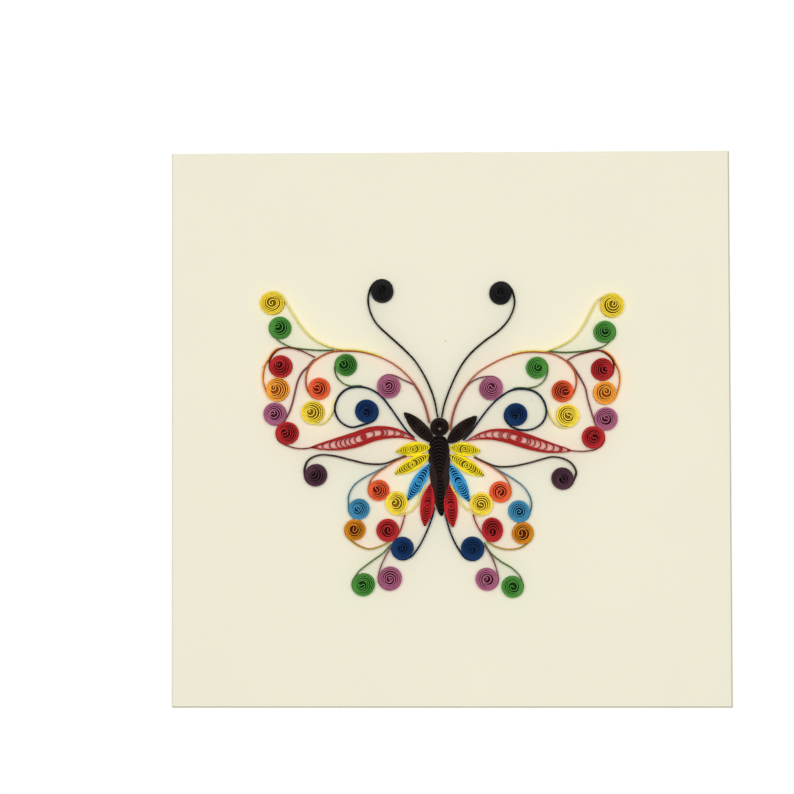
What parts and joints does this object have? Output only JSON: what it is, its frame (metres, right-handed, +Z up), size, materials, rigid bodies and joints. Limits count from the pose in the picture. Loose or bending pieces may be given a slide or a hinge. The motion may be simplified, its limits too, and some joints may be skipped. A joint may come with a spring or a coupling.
{
  "type": "quilled paper butterfly",
  "caption": "Butterfly of quilled paper strips standing on edge, rolled into scrolls and pinched into leaves, glued to the front of a square folded greeting card.",
  "frame": {"origin": "middle of the card's back, on the surface that the card lies on", "axes": "+X to the right across the card and away from its fold, +Y towards the butterfly's head, +Z up out of the card's front"},
  "size_m": [0.1524, 0.1514, 0.0043],
  "materials": {
    "cream_paper": "matte",
    "orange_red_paper": "matte",
    "crimson_paper": "matte",
    "navy_paper": "matte",
    "black_paper": "matte",
    "yellow_paper": "matte",
    "green_paper": "matte",
    "orange_paper": "matte",
    "mauve_paper": "matte",
    "aubergine_paper": "matte",
    "sky_blue_paper": "matte",
    "amber_paper": "matte",
    "dark_brown_paper": "matte",
    "red_paper": "matte"
  },
  "bodies": {
    "root": {"folded_card": "cream_paper", "left_forewing_arch": "orange_red_paper", "left_crimson_scroll": "crimson_paper", "left_navy_loop_scroll": "navy_paper", "left_antenna": "black_paper", "left_yellow_tip_scroll": "yellow_paper", "left_green_tip_scroll": "green_paper", "left_orange_scroll": "orange_paper", "left_mauve_edge_scroll": "mauve_paper", "left_red_edge_scroll": "crimson_paper", "left_mauve_inner_scroll": "mauve_paper", "left_green_inner_scroll": "green_paper", "left_yellow_inner_scroll": "yellow_paper", "left_aubergine_scroll": "aubergine_paper", "left_sky_blue_scroll": "sky_blue_paper", "left_orange_red_hind_scroll": "orange_red_paper", "left_yellow_hind_scroll": "yellow_paper", "left_red_hind_scroll": "crimson_paper", "left_amber_hind_scroll": "amber_paper", "left_navy_hind_scroll": "navy_paper", "left_green_tail_scroll": "green_paper", "left_mauve_tail_scroll": "mauve_paper", "right_forewing_arch": "orange_red_paper", "right_crimson_scroll": "crimson_paper", "right_navy_loop_scroll": "navy_paper", "right_antenna": "black_paper", "right_yellow_tip_scroll": "yellow_paper", "right_green_tip_scroll": "green_paper", "right_orange_scroll": "orange_paper", "right_mauve_edge_scroll": "mauve_paper", "right_red_edge_scroll": "crimson_paper", "right_mauve_inner_scroll": "mauve_paper", "right_green_inner_scroll": "green_paper", "right_yellow_inner_scroll": "yellow_paper", "right_aubergine_scroll": "aubergine_paper", "right_sky_blue_scroll": "sky_blue_paper", "right_orange_red_hind_scroll": "orange_red_paper", "right_yellow_hind_scroll": "yellow_paper", "right_red_hind_scroll": "crimson_paper", "right_amber_hind_scroll": "amber_paper", "right_navy_hind_scroll": "navy_paper", "right_green_tail_scroll": "green_paper", "right_mauve_tail_scroll": "mauve_paper", "left_dark_leaf": "dark_brown_paper", "left_long_red_leaf": "red_paper", "left_upper_yellow_leaf": "yellow_paper", "left_lower_yellow_leaf": "yellow_paper", "left_blue_leaf": "sky_blue_paper", "left_red_leaf": "red_paper", "right_dark_leaf": "dark_brown_paper", "right_long_red_leaf": "red_paper", "right_upper_yellow_leaf": "yellow_paper", "right_lower_yellow_leaf": "yellow_paper", "right_blue_leaf": "sky_blue_paper", "right_red_leaf": "red_paper", "body_teardrop": "dark_brown_paper", "head_coil": "dark_brown_paper"}
  },
  "joints": []
}
